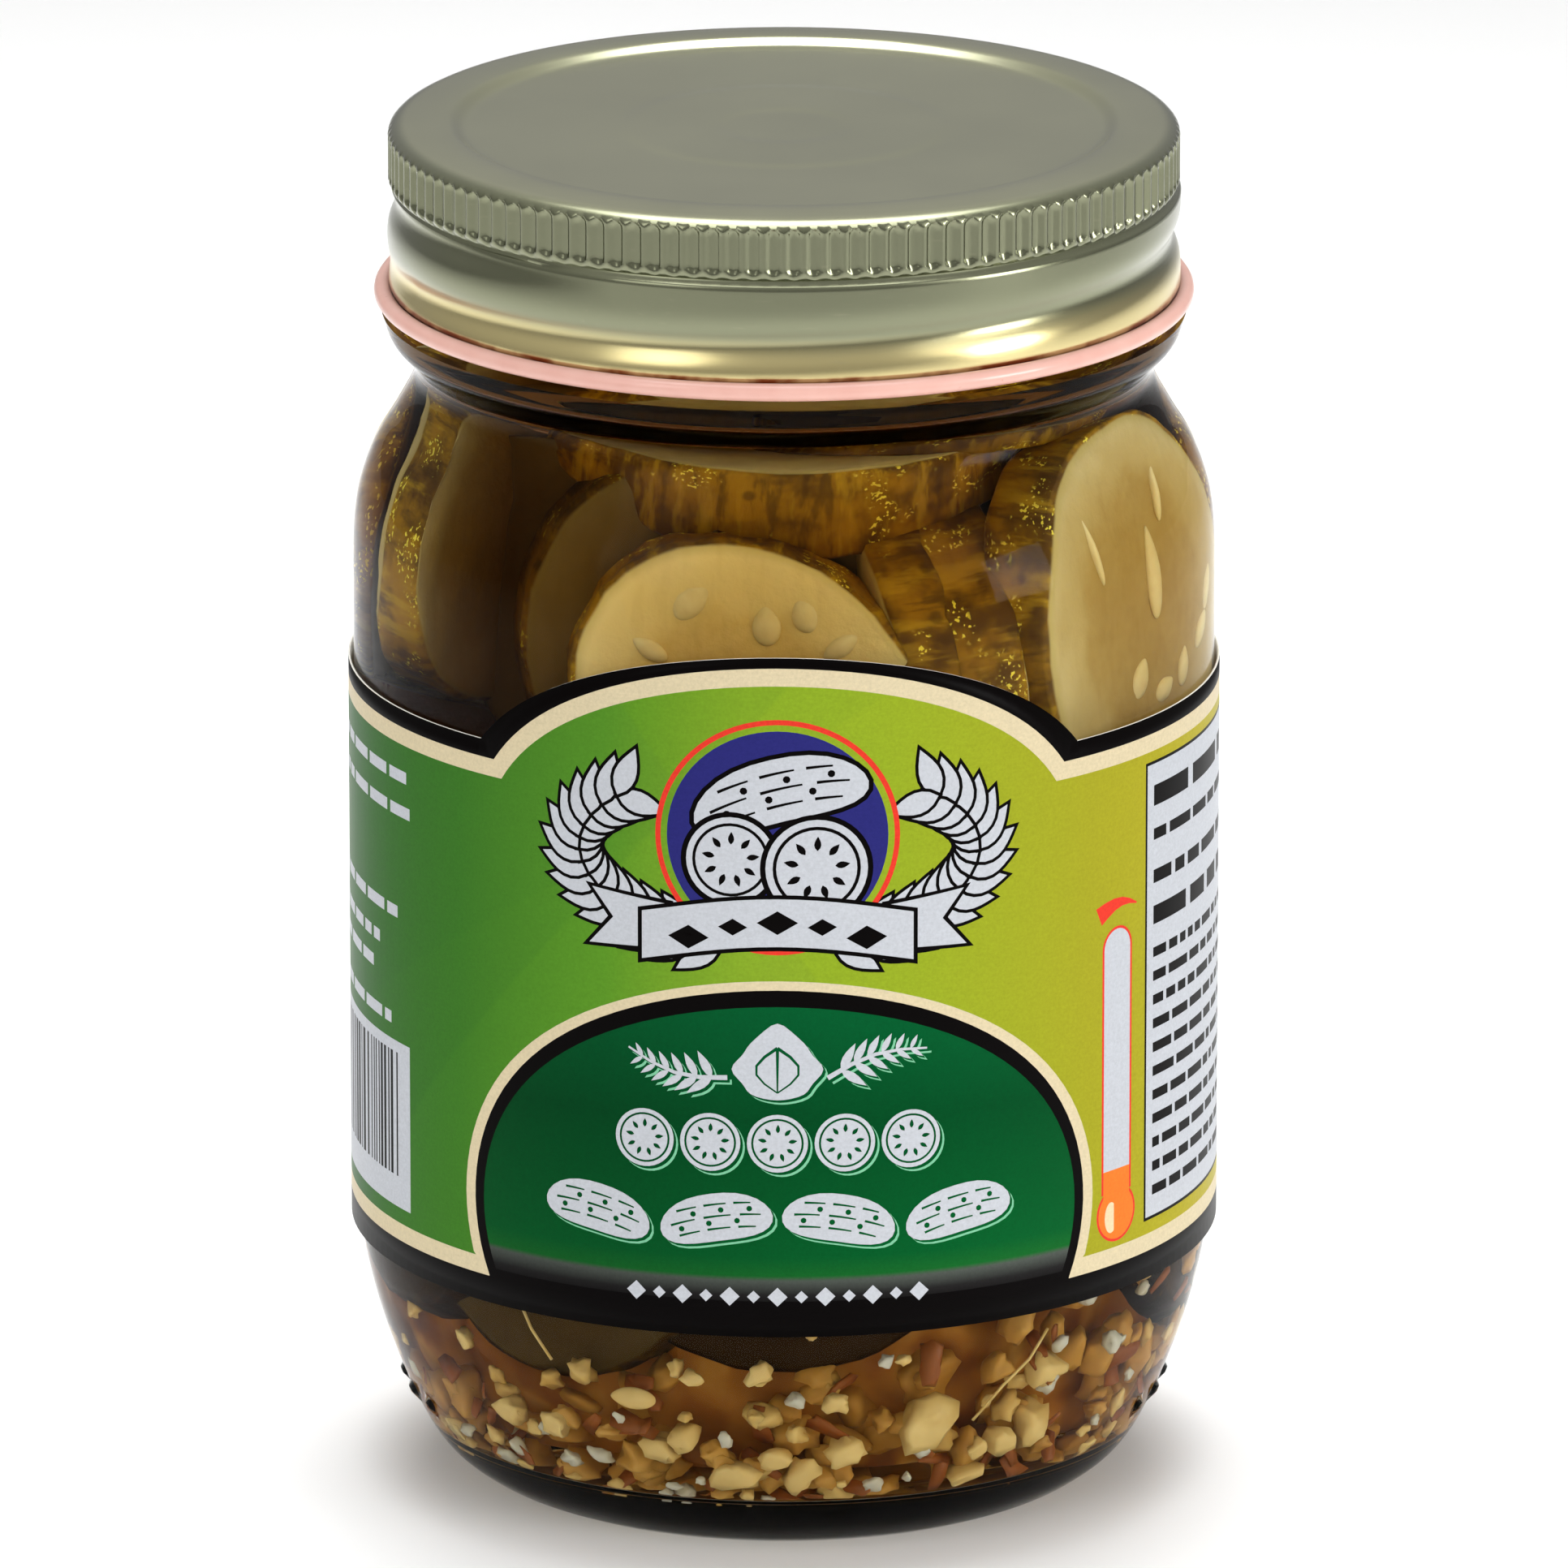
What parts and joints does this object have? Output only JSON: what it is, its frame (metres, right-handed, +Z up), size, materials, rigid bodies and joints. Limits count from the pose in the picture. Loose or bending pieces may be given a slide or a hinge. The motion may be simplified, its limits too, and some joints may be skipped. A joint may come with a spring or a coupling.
{
  "type": "pickle jar",
  "caption": "Round-shouldered glass jar of cut pickles over garlic and chilli bits, with a wrapped paper label and a ribbed metal screw lid.",
  "frame": {"origin": "middle of the ring that the jar stands on, in the plane of the surface under it", "axes": "+Z up through the lid; the middle of the label faces -Y; +X to the right of the label"},
  "size_m": [0.0818, 0.0813, 0.1301],
  "materials": {
    "glass": "clear moulded glass",
    "lid_metal": "satin gold lacquered tinplate",
    "label_paper": "coated printed paper",
    "pickle": "wet cut cucumber, skin and flesh",
    "sediment": "wet garlic and chilli bits"
  },
  "bodies": {
    "root": {"glass_jar": "glass", "lid": "lid_metal", "label": "label_paper", "pickle_slices": "pickle", "garlic_and_chilli": "sediment"}
  },
  "joints": []
}
